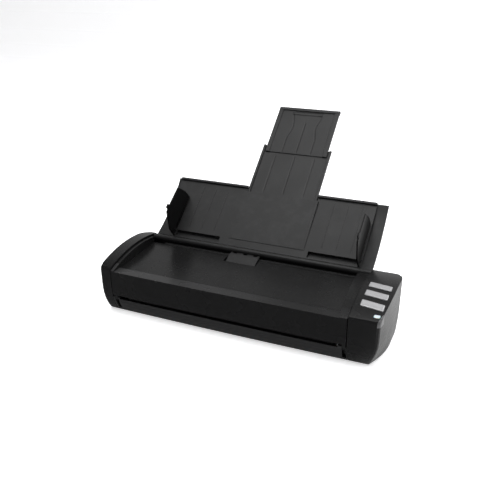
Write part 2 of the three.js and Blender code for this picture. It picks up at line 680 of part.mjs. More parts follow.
function extension() {
  const x0 = STAGE_CENTRE_X - LOWER.halfWidth;
  const x1 = STAGE_CENTRE_X + LOWER.halfWidth;
  const back = LOWER.out - LOWER.length;
  const channel = cut(lidBox(x0, x1, back, LOWER.out, -STAGE.half, STAGE.half),
    lidBox(x0 + LOWER.rail, x1 - LOWER.rail, back - 1, LOWER.out + 1, -STAGE.half + LOWER.base, 5));
  add('extension_lower', inStage(channel), 'matte', chute);

  const left = STAGE_CENTRE_X - UPPER.halfWidth;
  const right = STAGE_CENTRE_X + UPPER.halfWidth;
  const start = UPPER.out - UPPER.length;
  const end = UPPER.out + UPPER.bar;
  const plate = lidBox(left, right, start, UPPER.out, UPPER.bottom, STAGE.half);
  const bar = lidBox(left, right, UPPER.out - 0.1, end, UPPER.barLow, UPPER.barHigh);
  add('extension_upper', inStage(join(plate, bar)), 'matte', chute);
}

// ---------- sheet guides: racks, pinion and folding fins ----------
// a bar from x0 to x1 with teeth over the stretch that passes the pinion
function rack(x0, x1, toothed, pitchS, towards) {
  const step = Math.PI * RACK.module;
  const root = pitchS - towards * 1.25 * RACK.module;
  const tip = pitchS + towards * RACK.module;
  const back = root - towards * 1.1;
  const points = [[x0, -back], [x0, -root]];
  const first = Math.ceil((toothed[0] - FEED_CENTRE_X) / step - 0.5);
  for (let k = first; FEED_CENTRE_X + (k + 0.5) * step < toothed[1]; k += 1) {
    const middle = FEED_CENTRE_X + (k + 0.5) * step;
    points.push([middle - 0.32 * step, -root], [middle - 0.12 * step, -tip]);
    points.push([middle + 0.12 * step, -tip], [middle + 0.32 * step, -root]);
  }
  points.push([x1, -root], [x1, -back]);
  return prismZ(points, -RACK.high, -RACK.low);
}

function guides() {
  const radius = RACK.module * RACK.teeth / 2;
  const teeth = gearOutline(RACK.teeth, RACK.module, Math.PI / 2)
    .map(([a, b]) => [FEED_CENTRE_X + a, -RACK.axisS + b]);
  const pinion = cut(prismZ(teeth, -RACK.high + 0.1, -RACK.low - 0.1),
    rodZ(1.1, 0, 6, FEED_CENTRE_X, -RACK.axisS, 16));
  add('guide_pinion', inPanel(pinion), 'nylon', chute);

  const sides = {
    left: { x: FIN.left, bar: rack(FIN.left, 0, [-64, -1], RACK.axisS + radius, -1), footS: [-0.1, 6.4] },
    right: { x: FIN.right, bar: rack(-10, FIN.right, [-9, 54], RACK.axisS - radius, 1), footS: [-3, 3.5] },
  };
  for (const [side, { x, bar, footS }] of Object.entries(sides)) {
    const foot = lidBox(x - 1.4, x + 1.4, footS[0], footS[1], RACK.low, RACK.high);
    const column = lidBox(x - 1.4, x + 1.4, Math.max(footS[0], -2.6), Math.min(footS[1], 4.6),
      RACK.high - 0.1, -PANEL.thick + 0.1);
    const neck = lidBox(x - 1.4, x + 1.4, -2.6, 4.6, -PANEL.thick, 0);
    const lugs = [[-2.6, -1.2], [3.2, 4.6]].map(([s0, s1]) => lidBox(x - 1.2, x + 1.2, s0, s1, -0.5, 2.2));
    add(`${side}_guide_slider`, inPanel(join(bar, foot, column, neck, ...lugs)), 'satin', chute);
    add(`${side}_guide_fin`, inPanel(fin(x)), 'gloss', chute);
  }
}

function fin(x) {
  const blade = lidPrism([
    [-3.5, 2.8], [5.6, 2.8], [5.6, 0.35], [49.9, 0.35], [49.4, 8], [48.3, 15.3],
    [42.4, 32.3], [23.6, 33.9], [11, 34.4], [7.6, 34], [-3.5, 14.3],
  ], x - FIN.half, x + FIN.half);
  const knob = lidBox(x - FIN.half, x + FIN.half, 11, 16, 33, 38);
  const web = lidBox(x - FIN.half, x + FIN.half, -0.6, 2.6, FIN.axisM, 3);
  const barrel = rodX(FIN.half - 0.05, -2.8, 0.8, 0, 0, 12).rotate([0, 0, 90]).translate([x, 0, -FIN.axisM]);
  return join(blade, knob, web, barrel);
}

chuteLid();
chutePanel();
extension();
guides();

export default scanner;
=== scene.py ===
"""Looks of the sheet fed document scanner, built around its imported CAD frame.

The frame is in metres; pieces made here are drawn in millimetres and scaled when they are published.
"""
import json
import math

import bmesh
import bpy
from mathutils import Matrix, Vector


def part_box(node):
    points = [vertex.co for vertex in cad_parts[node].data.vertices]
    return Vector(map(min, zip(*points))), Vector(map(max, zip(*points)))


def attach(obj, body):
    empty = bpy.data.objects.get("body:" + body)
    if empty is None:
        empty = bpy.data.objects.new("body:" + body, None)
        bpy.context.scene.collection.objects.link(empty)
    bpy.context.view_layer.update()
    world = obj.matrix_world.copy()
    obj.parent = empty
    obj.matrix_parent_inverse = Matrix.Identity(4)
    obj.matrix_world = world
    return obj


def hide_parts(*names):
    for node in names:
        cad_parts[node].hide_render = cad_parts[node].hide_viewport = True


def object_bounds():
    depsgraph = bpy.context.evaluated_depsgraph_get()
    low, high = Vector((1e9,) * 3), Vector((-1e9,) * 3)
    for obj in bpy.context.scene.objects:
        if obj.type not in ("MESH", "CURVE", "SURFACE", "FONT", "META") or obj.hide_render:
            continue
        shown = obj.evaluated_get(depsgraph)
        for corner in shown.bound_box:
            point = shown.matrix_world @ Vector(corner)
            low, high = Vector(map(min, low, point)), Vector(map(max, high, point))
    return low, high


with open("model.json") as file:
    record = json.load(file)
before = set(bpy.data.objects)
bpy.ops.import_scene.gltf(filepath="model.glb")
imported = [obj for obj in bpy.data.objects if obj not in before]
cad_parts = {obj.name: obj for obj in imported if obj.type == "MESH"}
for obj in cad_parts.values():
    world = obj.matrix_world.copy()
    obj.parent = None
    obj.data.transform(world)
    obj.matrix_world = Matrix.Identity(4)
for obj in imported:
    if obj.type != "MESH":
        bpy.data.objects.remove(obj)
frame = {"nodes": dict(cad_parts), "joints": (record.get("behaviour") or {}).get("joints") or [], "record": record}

cad_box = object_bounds()
MM = 0.001

# ---------------------------------------------------------------- materials


class Graph:
    """Short calls for building one material's node tree."""

    def __init__(self, name):
        self.material = bpy.data.materials.new(name)
        self.material.use_nodes = True
        self.nodes = self.material.node_tree.nodes
        self.links = self.material.node_tree.links
        self.bsdf = self.nodes["Principled BSDF"]
        self.coords = self.nodes.new("ShaderNodeTexCoord").outputs["Object"]

    def put(self, socket, value):
        if isinstance(value, bpy.types.NodeSocket):
            self.links.new(value, socket)
        else:
            socket.default_value = value

    def stretched(self, scale):
        node = self.nodes.new("ShaderNodeMapping")
        node.inputs["Scale"].default_value = scale
        self.links.new(self.coords, node.inputs["Vector"])
        return node.outputs["Vector"]

    def noise(self, scale, detail=2.0, vector=None, roughness=0.5):
        node = self.nodes.new("ShaderNodeTexNoise")
        node.inputs["Scale"].default_value = scale
        node.inputs["Detail"].default_value = detail
        node.inputs["Roughness"].default_value = roughness
        self.links.new(vector or self.coords, node.inputs["Vector"])
        return node.outputs["Fac"]

    def voronoi(self, scale, output="Distance"):
        node = self.nodes.new("ShaderNodeTexVoronoi")
        node.inputs["Scale"].default_value = scale
        self.links.new(self.coords, node.inputs["Vector"])
        return node.outputs[output]

    def remap(self, value, low, high, out_low, out_high):
        node = self.nodes.new("ShaderNodeMapRange")
        for socket, number in zip(list(node.inputs)[1:5], (low, high, out_low, out_high)):
            socket.default_value = number
        self.links.new(value, node.inputs["Value"])
        return node.outputs["Result"]

    def math(self, operation, a, b):
        node = self.nodes.new("ShaderNodeMath")
        node.operation = operation
        self.put(node.inputs[0], a)
        self.put(node.inputs[1], b)
        return node.outputs[0]

    def mix(self, factor, a, b):
        node = self.nodes.new("ShaderNodeMix")
        node.data_type = "RGBA"
        self.put(node.inputs["Factor"], factor)
        self.put(node.inputs[6], a)
        self.put(node.inputs[7], b)
        return node.outputs[2]

    def edges(self):
        """1 on outward edges, 0 on flat faces."""
        pointiness = self.nodes.new("ShaderNodeNewGeometry").outputs["Pointiness"]
        return self.remap(pointiness, 0.52, 0.6, 0.0, 1.0)

    def bump(self, height, distance, strength=1.0):
        node = self.nodes.new("ShaderNodeBump")
        node.inputs["Strength"].default_value = strength
        node.inputs["Distance"].default_value = distance
        self.links.new(height, node.inputs["Height"])
        self.links.new(node.outputs["Normal"], self.bsdf.inputs["Normal"])

    def set(self, **values):
        for name, value in values.items():
            self.put(self.bsdf.inputs[name.replace("_", " ")], value)


def grey(level):
    return (level, level, level * 1.02, 1.0)


def moulded_plastic(name, level, rough, specular, relief_mm, lip_highlight_level=0.0):
    """Moulded plastic: faint tone variation, mould grain, dust specks, paler worn edges, and, given a lip level, a
    painted highlight on the cover's lip.
    """
    g = Graph(name)
    base = g.mix(g.noise(9.0, 2.0), grey(level * 0.93), grey(level * 1.07))
    worn = g.math("MULTIPLY", g.edges(), g.remap(g.noise(130.0, 3.0), 0.45, 0.7, 0.05, 0.25))
    base = g.mix(worn, base, grey(min(0.4, level * 2.2 + 0.006)))
    # painted highlight: the cover's upward lip is made paler where light falls on it, less so to the right
    if lip_highlight_level:
        base = g.mix(lip_highlight_mask(g), base, grey(lip_highlight_level))
    specks = g.remap(g.voronoi(260.0), 0.03, 0.07, 0.05, 0.0)
    roughness = g.math("ADD", g.remap(g.noise(40.0, 3.0), 0.35, 0.65, rough - 0.02, rough + 0.03), specks)
    g.set(Base_Color=base, Roughness=roughness, Specular_IOR_Level=specular)
    g.bump(g.noise(2200.0, 2.0, roughness=0.6), relief_mm * MM)
    return g.material


def lip_highlight_mask(g):
    """Mask of the painted highlight: 1 on the upward lip in front of the deck, fading towards the right."""
    geometry = g.nodes.new("ShaderNodeNewGeometry")
    normal = g.nodes.new("ShaderNodeSeparateXYZ")
    place = g.nodes.new("ShaderNodeSeparateXYZ")
    g.links.new(geometry.outputs["True Normal"], normal.inputs[0])
    g.links.new(g.coords, place.inputs[0])
    upward = g.remap(normal.outputs["Z"], 0.3, 0.8, 0.0, 1.0)
    in_front = g.remap(place.outputs["Y"], -0.0336, -0.0328, 1.0, 0.0)
    leftward = g.remap(place.outputs["X"], -0.13, 0.11, 1.0, 0.15)
    return g.math("MULTIPLY", g.math("MULTIPLY", upward, in_front), leftward)


def silver_paint(name):
    g = Graph(name)
    flakes = g.voronoi(9000.0, "Color")
    sparkle = g.nodes.new("ShaderNodeRGBToBW")
    g.links.new(flakes, sparkle.inputs[0])
    tone = g.remap(sparkle.outputs[0], 0.2, 0.9, 0.0, 1.0)
    base = g.mix(tone, grey(0.34), grey(0.46))
    rubbed = g.math("MULTIPLY", g.edges(), 0.4)
    g.set(Base_Color=g.mix(rubbed, base, grey(0.5)), Metallic=0.35, Coat_Weight=0.3,
          Roughness=g.remap(g.noise(300.0), 0.3, 0.7, 0.3, 0.42))
    g.bump(g.noise(4000.0), 0.004 * MM)
    return g.material


def light_pipe(name):
    g = Graph(name)
    g.set(Base_Color=g.mix(g.noise(500.0), grey(0.66), grey(0.76)), Roughness=0.22,
          Subsurface_Weight=0.3, Emission_Color=(1.0, 1.0, 1.0, 1.0), Emission_Strength=0.05)
    g.bump(g.noise(900.0), 0.01 * MM)
    return g.material


def ground_rubber(name):
    g = Graph(name)
    grit = g.noise(2600.0, 4.0, roughness=0.7)
    g.set(Base_Color=g.mix(g.noise(60.0), grey(0.018), grey(0.045)),
          Roughness=g.remap(grit, 0.3, 0.7, 0.75, 0.95))
    g.bump(grit, 0.05 * MM)
    return g.material


def drawn_steel(name):
    g = Graph(name)
    lines = g.noise(900.0, 3.0, g.stretched((0.03, 1.0, 1.0)))
    spots = g.remap(g.noise(45.0, 5.0), 0.55, 0.75, 0.0, 0.5)
    g.set(Base_Color=g.mix(spots, grey(0.5), grey(0.33)), Metallic=1.0,
          Roughness=g.remap(lines, 0.3, 0.7, 0.22, 0.42))
    g.bump(lines, 0.01 * MM)
    return g.material


def pale_plastic(name, level, warm, rough):
    g = Graph(name)
    light = (level, level * (1 - 0.01 * warm), level * (1 - 0.06 * warm), 1.0)
    dark = tuple(channel * 0.86 for channel in light[:3]) + (1.0,)
    g.set(Base_Color=g.mix(g.noise(30.0, 4.0), dark, light), Subsurface_Weight=0.08,
          Roughness=g.remap(g.noise(200.0), 0.3, 0.7, rough - 0.06, rough + 0.08))
    g.bump(g.noise(1800.0, 3.0), 0.012 * MM)
    return g.material


def circuit_board(name):
    g = Graph(name)
    tracks = g.remap(g.voronoi(420.0), 0.44, 0.5, 0.0, 1.0)
    g.set(Base_Color=g.mix(tracks, (0.012, 0.09, 0.04, 1), (0.03, 0.2, 0.09, 1)), Roughness=0.35)
    g.bump(tracks, 0.03 * MM)
    return g.material


def sheet_glass(name):
    g = Graph(name)
    g.set(Base_Color=(0.86, 0.93, 0.92, 1), Transmission_Weight=0.95, IOR=1.5,
          Roughness=g.remap(g.noise(80.0, 4.0), 0.4, 0.8, 0.02, 0.12))
    return g.material


MATERIALS = {
    "gloss_black_plastic": moulded_plastic("gloss_black", 0.0085, 0.26, 0.16, 0.002),
    "satin_black_plastic": moulded_plastic("satin_black", 0.016, 0.42, 0.25, 0.005),
    "matte_black_plastic": moulded_plastic("matte_black", 0.010, 0.55, 0.2, 0.008),
    "extension_plastic": moulded_plastic("extension_grey", 0.017, 0.45, 0.3, 0.006),
    "grey_trim": moulded_plastic("trim_grey", 0.07, 0.35, 0.4, 0.003),
    "button_silver": silver_paint("button_silver"),
    "status_light": light_pipe("status_light"),
    "white_plastic": pale_plastic("white_plate", 0.88, 0.2, 0.5),
    "nylon": pale_plastic("nylon", 0.72, 1.0, 0.45),
    "rubber": ground_rubber("rubber"),
    "steel": drawn_steel("steel"),
    "circuit_board": circuit_board("circuit_board"),
    "sensor_glass": sheet_glass("sensor_glass"),
}
FIN_PLASTIC = moulded_plastic("fin_black", 0.004, 0.35, 0.12, 0.002)
# the cover material carries a painted highlight along its lip
COVER_PLASTIC = moulded_plastic("cover_black", 0.0085, 0.26, 0.16, 0.002, lip_highlight_level=0.03)
SLOT_OF = {entry["node"]: entry["material_slot"] for entry in frame["record"]["subparts"]}


# ---------------------------------------------------------------- CAD pieces that stay


def soften(piece, width_mm):
    """Merges flat triangles, rounds the hard edges and evens the shading."""
    flat = piece.modifiers.new("flat", "DECIMATE")
    flat.decimate_type = "DISSOLVE"
    flat.angle_limit = math.radians(0.6)
    if width_mm:
        bevel = piece.modifiers.new("edges", "BEVEL")
        bevel.width = width_mm * MM
        bevel.segments = 2
        bevel.limit_method = "ANGLE"
        bevel.angle_limit = math.radians(32)
        bevel.use_clamp_overlap = True
    normals = piece.modifiers.new("shading", "WEIGHTED_NORMAL")
    normals.keep_sharp = True
    normals.weight = 80


EDGE_MM = {"left_end_cap": 0.7, "right_end_cap": 0.7, "front_cover": 0.5, "base_shell": 0.5,
           "chute_lid": 0.4, "chute_panel": 0.3, "separation_pad_holder": 0.4}


def dress_frame():
    for name, piece in frame["nodes"].items():
        slot = SLOT_OF[name]
        piece.data.materials.clear()
        piece.data.materials.append(MATERIALS[slot])
        piece.data.polygons.foreach_set("use_smooth", [True] * len(piece.data.polygons))
        soften(piece, EDGE_MM.get(name, 0.25))


dress_frame()
frame["nodes"]["front_cover"].data.materials[0] = COVER_PLASTIC

# ---------------------------------------------------------------- pieces made here (millimetres)


def middle(node):
    """The middle of a CAD node's box."""
    return [round((low + high) / 2 / MM, 3) for low, high in zip(*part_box(node))]


def half_size(node):
    """Half the sides of a CAD node's box."""
    return [round((high - low) / 2 / MM, 3) for low, high in zip(*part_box(node))]


def joint(name):
    return next(entry for entry in frame["joints"] if entry["name"] == name)


def about_x(radians):
    return Matrix.Rotation(radians, 4, "X")


CROWN_Y, CROWN_RADIUS, CROWN_PEAK = 12.0, 168.0, 62.0
CHUTE_PIVOT = [value / MM for value in joint("chute_hinge")["pos_m"]]
CHUTE_OPEN_DEG = joint("chute_hinge")["range_deg"][1]
STAGE_MOUTH, STAGE_TILT_DEG, STAGE_CENTRE_X = (0, -83, -3.8), 4, middle("extension_upper")[0]
PANEL_ROOT, PANEL_SLOPE = (0, -8, -0.5), 0.036

# In STAGE and PANEL space x runs to the right, s from the pivot to the tip, m out of the sheet's side.
FLIP = about_x(math.pi)
CHUTE = Matrix.Translation(CHUTE_PIVOT) @ about_x(math.radians(-CHUTE_OPEN_DEG))
STAGE = CHUTE @ Matrix.Translation(STAGE_MOUTH) @ about_x(math.radians(STAGE_TILT_DEG)) @ FLIP
PANEL = CHUTE @ Matrix.Translation(PANEL_ROOT) @ about_x(math.atan(PANEL_SLOPE)) @ FLIP


def publish(name, bm, place, material_slot, body, stands_for=(), sharp_deg=38.0):
    """Makes the object: placed, in metres, smooth but for its hard edges, riding its body."""
    bmesh.ops.recalc_face_normals(bm, faces=bm.faces)
    bm.transform(Matrix.Scale(MM, 4) @ place)
    for face in bm.faces:
        face.smooth = True
    for edge in bm.edges:
        if len(edge.link_faces) == 2 and edge.calc_face_angle(0.0) > math.radians(sharp_deg):
            edge.smooth = False
    mesh = bpy.data.meshes.new(name)
    bm.to_mesh(mesh)
    bm.free()
    mesh.materials.append(MATERIALS[material_slot])
    piece = bpy.data.objects.new(name, mesh)
    bpy.context.collection.objects.link(piece)
    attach(piece, body)
    if stands_for:
        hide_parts(*stands_for)
    return piece


def loft(bm, rings, closed=False):
    """Skins rings of points in turn; a closed loft returns to its first ring, an open one gets end faces."""
    rows = [[bm.verts.new(point) for point in ring] for ring in rings]
    count = len(rows[0])
    for low, high in list(zip(rows, rows[1:])) + ([(rows[-1], rows[0])] if closed else []):
        for i in range(count):
            j = (i + 1) % count
            bm.faces.new((low[i], low[j], high[j], high[i]))
    if not closed:
        bm.faces.new(rows[0][::-1])
        bm.faces.new(rows[-1])


def block(bm, low, high, round_mm=0.3, segments=2):
    """A box between two corners with its edges rounded."""
    size = [b - a for a, b in zip(low, high)]
    middle = [(a + b) / 2 for a, b in zip(low, high)]
    place = Matrix.Translation(middle) @ Matrix.Diagonal((*size, 1.0))
    made = bmesh.ops.create_cube(bm, size=1.0, matrix=place)
    edges = {edge for vert in made["verts"] for edge in vert.link_edges}
    bmesh.ops.bevel(bm, geom=list(edges), offset=round_mm, segments=segments, profile=0.5, affect="EDGES")


def rounded_outline(half_x, half_y, radius, steps=5):
    """A rectangle about the origin with rounded corners, as [x, y] points."""
    points = []
    for cx, cy, start in ((1, -1, -90), (1, 1, 0), (-1, 1, 90), (-1, -1, 180)):
        for i in range(steps + 1):
            turn = math.radians(start + 90 * i / steps)
            points.append((cx * (half_x - radius) + radius * math.cos(turn),
                           cy * (half_y - radius) + radius * math.sin(turn)))
    return points


def on_crown(x, y):
    """The place of a part that stands square on the end cap's crown."""
    lean = math.asin((y - CROWN_Y) / CROWN_RADIUS)
    z = CROWN_PEAK - CROWN_RADIUS + math.sqrt(CROWN_RADIUS ** 2 - (y - CROWN_Y) ** 2)
    return Matrix.Translation((x, y, z)) @ about_x(-lean)


def lines(low, high, step, edge=(0.12, 0.3, 0.6)):
    """Grid lines from low to high, closer together at both ends."""
    count = max(2, round((high - low - 2 * edge[-1]) / step))
    inner = [low + edge[-1] + (high - low - 2 * edge[-1]) * i / count for i in range(count + 1)]
    return [low] + [low + e for e in edge[:-1]] + inner + [high - e for e in edge[:-1]][::-1] + [high]


def relief(bm, xs, ss, top, bottom):
    """A closed plate over a grid of x and s lines, at the heights its two functions give."""
    upper = [[bm.verts.new((x, s, top(x, s))) for x in xs] for s in ss]
    lower = [[bm.verts.new((x, s, bottom(x, s))) for x in xs] for s in ss]
    for i in range(len(ss) - 1):
        for j in range(len(xs) - 1):
            bm.faces.new((upper[i][j], upper[i][j + 1], upper[i + 1][j + 1], upper[i + 1][j]))
            bm.faces.new((lower[i][j], lower[i + 1][j], lower[i + 1][j + 1], lower[i][j + 1]))
    last_s, last_x = len(ss) - 1, len(xs) - 1
    rim = [(0, j) for j in range(last_x)] + [(i, last_x) for i in range(last_s)]
    rim += [(last_s, j) for j in range(last_x, 0, -1)] + [(i, 0) for i in range(last_s, 0, -1)]
    for (i, j), (k, m) in zip(rim, rim[1:] + rim[:1]):
        bm.faces.new((lower[i][j], lower[k][m], upper[k][m], upper[i][j]))


def ease(value):
    value = min(1.0, max(0.0, value))
    return value * value * (3 - 2 * value)


def inside(value, low, high, soft):
    """1 between low and high, fading to 0 over the soft distance on either side."""
    return ease((value - low) / soft + 1) * ease((high - value) / soft + 1)


def round_off(distance, radius):
    """How far a face has dropped at a distance in from an edge rounded to a radius."""
    if distance >= radius:
        return 0.0
    return radius - math.sqrt(radius ** 2 - (radius - distance) ** 2)


UPPER = {"half": half_size("extension_upper")[0], "start": 50.8, "bar": 112.8, "end": 117.0, "rail": 33.0,
         "rail_top": 1.3, "floor": 0.5, "under": -0.2, "bar_top": 1.7, "bar_under": -2.2}
GROOVE = {"half": 0.3, "soft": 0.35, "depth": 0.4, "start": 52.5, "bowed_end": 106.0, "middle_end": 96.0,
          "spread": 17.6, "bow": 3.4, "bow_length": 34.0}
GRIP = {"half": 17.8, "low": 107.2, "high": 109.8, "soft": 0.7, "height": 0.62, "end_height": 0.16}


def bowed_groove_x(s):
    """Half the distance between the two grooves, which bow towards each other half way down."""
    down = min(1.0, max(0.0, (GROOVE["bowed_end"] - s) / GROOVE["bow_length"]))
    return GROOVE["spread"] - GROOVE["bow"] * math.sin(math.pi * down) ** 1.5


def upper_grooves(x, s):
    """How deep the two bowed grooves and the middle one are at a point."""
    half, soft, start = GROOVE["half"], GROOVE["soft"], GROOVE["start"]
    centre = bowed_groove_x(s)
    bowed = inside(abs(x), centre - half, centre + half, soft) * inside(s, start, GROOVE["bowed_end"], 0.5)
    middle = inside(x, -half, half, soft) * inside(s, start, GROOVE["middle_end"], 0.5)
    return GROOVE["depth"] * max(bowed, middle)


def upper_grip(x, s):
    """The raised bar a finger pulls, a little higher at its ends, with a dip behind it."""
    bar = inside(abs(x), -1, GRIP["half"], GRIP["soft"]) * inside(s, GRIP["low"], GRIP["high"], GRIP["soft"])
    height = bar * (GRIP["height"] + GRIP["end_height"] * inside(abs(x), 15.6, 17.6, 0.5))
    return height - 0.35 * inside(abs(x), -1, GRIP["half"], 0.5) * inside(s, 111.0, 112.2, 0.4)


def upper_top(x, s):
    side = UPPER["half"] - abs(x)
    if s > UPPER["bar"]:
        return UPPER["bar_top"] - round_off(UPPER["end"] - s, 1.3) - round_off(side, 0.7)
    rise = UPPER["rail_top"] - UPPER["floor"]
    height = UPPER["floor"] + rise * inside(abs(x), UPPER["rail"], 90, 0.35)
    height += upper_grip(x, s) - upper_grooves(x, s)
    return height - round_off(side, 0.4) - round_off(s - UPPER["start"], 0.4)


def upper_bottom(_, s):
    step = ease((s - UPPER["bar"] + 0.35) / 0.35)
    thick = UPPER["under"] + (UPPER["bar_under"] - UPPER["under"]) * step
    return thick + (round_off(UPPER["end"] - s, 1.1) if s > UPPER["bar"] else 0.0)


def stage_relief(name, xs, ss, top, bottom, cad_node):
    """One stage of the extension, its heights given about its own centre line."""
    bm = bmesh.new()
    relief(bm, [STAGE_CENTRE_X + x for x in xs], ss,
           lambda x, s: top(x - STAGE_CENTRE_X, s), lambda x, s: bottom(x - STAGE_CENTRE_X, s))
    publish(name, bm, STAGE, "extension_plastic", cad_node, [cad_node])


def upper_stage():
    half, bar = UPPER["half"], UPPER["bar"]
    ss = lines(UPPER["start"], bar, 0.6) + lines(bar + 0.05, UPPER["end"], 0.35)
    stage_relief("upper_stage", lines(-half, half, 0.55), ss, upper_top, upper_bottom, "extension_upper")


LOWER = {"half": half_size("extension_lower")[0], "start": -8.0, "end": 60.0, "rail": 2.8,
         "rail_top": 1.3, "floor": -0.5, "under": -1.3}
LOWER_GROOVE_XS = (-24.0, 0.0, 24.0)


def lower_top(x, s):
    side, rail, end = LOWER["half"] - abs(x), LOWER["rail"], LOWER["end"]
    if side < rail:
        drop = round_off(side, 0.6) + round_off(rail - side, 0.5) + round_off(end - s, 0.5)
        return LOWER["rail_top"] - drop
    height = LOWER["floor"]
    for centre in LOWER_GROOVE_XS:
        height -= 0.3 * inside(x, centre - 0.4, centre + 0.4, 0.3) * inside(s, -4.0, 48.0, 0.5)
    stop = inside(abs(x), 8.0, 16.0, 0.5) * inside(s, 54.0, 57.0, 0.5)
    return height + 0.25 * stop - round_off(end - s, 0.3)


def lower_bottom(x, s):
    edges = (LOWER["half"] - abs(x), LOWER["end"] - s, s - LOWER["start"])
    return LOWER["under"] + sum(round_off(distance, 0.4) for distance in edges)


def lower_stage():
    half, rail = LOWER["half"], LOWER["rail"]
    rail_foot = [half - rail + e for e in (0.02, 0.15, 0.35, 0.5)]
    rail_edge = [half - e for e in (1.4, 0.6, 0.4, 0.2, 0.07, 0.0)]
    right = rail_foot + rail_edge
    xs = [-x for x in right[::-1]] + lines(-half + rail, half - rail, 0.7) + right
    ss = lines(LOWER["start"], LOWER["end"], 0.8)
    stage_relief("lower_stage", xs, ss, lower_top, lower_bottom, "extension_lower")


FIN_OUTLINE = [(-3.5, 2.8), (5.6, 2.8), (5.6, 0.35), (49.9, 0.35), (49.4, 8), (48.3, 15.3),
               (42.4, 32.3), (23.6, 33.9), (11, 34.4), (7.6, 34), (-3.5, 14.3)]


def corner_cut(points, reach, steps=4):
    """The outline with every corner turned into a short curve."""
    out = []
    for i, here in enumerate(points):
        here, before, after = Vector(here), Vector(points[i - 1]), Vector(points[(i + 1) % len(points)])
        start = here + (before - here).normalized() * min(reach, (before - here).length * 0.4)
        end = here + (after - here).normalized() * min(reach, (after - here).length * 0.4)
        for k in range(steps + 1):
            t = k / steps
            out.append(start * (1 - t) ** 2 + here * 2 * t * (1 - t) + end * t * t)
    return out


FIN_HALF = half_size("left_guide_fin")[0]
KNOB = {"low": 11, "high": 16, "base": 33.2, "top": 38, "half": 0.95, "rib_half": 1.03}
KNOB_RIBS = {"middles": (12.3, 13.5, 14.7), "half": 0.25, "base": 34.8, "top": 37.2}
FIN_ROOT = {"half": 0.75, "low": -0.6, "high": 2.6, "base": 0.7, "top": 3.2}


def fin_blade(bm, x):
    """The blade: a rounded outline with soft rims and a shallow panel sunk in both faces."""
    face = bm.faces.new([bm.verts.new((x - FIN_HALF, s, m)) for s, m in corner_cut(FIN_OUTLINE, 1.4)])
    moved = bmesh.ops.extrude_face_region(bm, geom=[face])["geom"]
    corners = [item for item in moved if isinstance(item, bmesh.types.BMVert)]
    bmesh.ops.translate(bm, vec=(2 * FIN_HALF, 0, 0), verts=corners)
    bm.normal_update()
    rims = {edge for side in bm.faces if len(side.verts) > 4 for edge in side.edges}
    bmesh.ops.bevel(bm, geom=list(rims), offset=0.35, segments=3, profile=0.5, affect="EDGES")
    sides = [side for side in bm.faces if len(side.verts) > 12]
    bmesh.ops.inset_region(bm, faces=sides, thickness=1.3, use_even_offset=True)
    bmesh.ops.inset_region(bm, faces=sides, thickness=0.25, depth=-0.2, use_even_offset=True)


def fins():
    """Each blade with its ribbed knob and the root that joins it to its hinge."""
    for side in ("left", "right"):
        x = middle(f"{side}_guide_fin")[0]
        bm = bmesh.new()
        fin_blade(bm, x)
        block(bm, (x - KNOB["half"], KNOB["low"], KNOB["base"]),
              (x + KNOB["half"], KNOB["high"], KNOB["top"]), 0.4)
        for s in KNOB_RIBS["middles"]:
            block(bm, (x - KNOB["rib_half"], s - KNOB_RIBS["half"], KNOB_RIBS["base"]),
                  (x + KNOB["rib_half"], s + KNOB_RIBS["half"], KNOB_RIBS["top"]), 0.1, 1)
        block(bm, (x - FIN_ROOT["half"], FIN_ROOT["low"], FIN_ROOT["base"]),
              (x + FIN_ROOT["half"], FIN_ROOT["high"], FIN_ROOT["top"]), 0.1, 1)
        blade = publish(f"{side}_fin_blade", bm, PANEL, "gloss_black_plastic", f"{side}_fin",
                        [f"{side}_guide_fin"])
        blade.data.materials[0] = FIN_PLASTIC


BUTTON_HALF_X, BUTTON_HALF_Y, BUTTON_SKEW, BUTTON_CORNER = half_size("button_rear")[0], 4.4, 3.0, 0.9
BUTTON_STEM = ((-2, -2, -6.4), (2, 2, -1.8))


def button_place(name):
    """A button stands on the crown where the crown leans as much as the line it is pressed along."""
    lean = joint(f"{name}_press")["axis"][1]
    return on_crown(middle(name)[0], CROWN_Y - CROWN_RADIUS * lean)


def button_outline(grow):
    """The button's skewed outline, grown outwards by a distance."""
    half = BUTTON_HALF_X + grow
    points = rounded_outline(half, BUTTON_HALF_Y + grow, max(0.3, BUTTON_CORNER + grow))
    return [(x, y - BUTTON_SKEW * x / (2 * half)) for x, y in points]


def ring(outline, z):
    return [(x, y, z) for x, y in outline]


# how far the outline has grown, and the height there, from the bottom ring up
BUTTON_PILLOW = [(0, -1.9), (0, 0.2), (-0.08, 0.4), (-0.25, 0.56), (-0.55, 0.66), (-1.0, 0.7),
                 (-1.6, 0.68), (-2.3, 0.62), (-3.2, 0.56)]
BUTTON_FRAME = [(0.42, -0.7), (0.42, 0.02), (0.52, 0.16), (0.75, 0.2), (1.1, 0.16), (1.35, -0.02),
                (1.35, -0.7)]
LENS_DOME = [(0, -2.2), (0, 0.0), (-0.1, 0.14), (-0.3, 0.24), (-0.65, 0.3), (-1.1, 0.33)]


def buttons():
    for name in ("button_rear", "button_middle", "button_front"):
        place = button_place(name)
        bm = bmesh.new()
        loft(bm, [ring(button_outline(grow), z) for grow, z in BUTTON_PILLOW])
        block(bm, *BUTTON_STEM, 0.2)
        publish(f"{name}_cap", bm, place, "button_silver", name, [name])
        bm = bmesh.new()
        loft(bm, [ring(button_outline(grow), z) for grow, z in BUTTON_FRAME], closed=True)
        publish(f"{name}_frame", bm, place, "matte_black_plastic", "base")


LENS = {"y": -38.4, "half_x": half_size("status_light")[0], "half_y": 1.9, "corner": 1.25}


def lens_outline(grow):
    return rounded_outline(LENS["half_x"] + grow, LENS["half_y"] + grow, LENS["corner"] + grow)


def status_lens():
    bm = bmesh.new()
    loft(bm, [ring(lens_outline(grow), z) for grow, z in LENS_DOME])
    place = on_crown(middle("status_light")[0], LENS["y"])
    publish("status_lens", bm, place, "status_light", "base", ["status_light"])


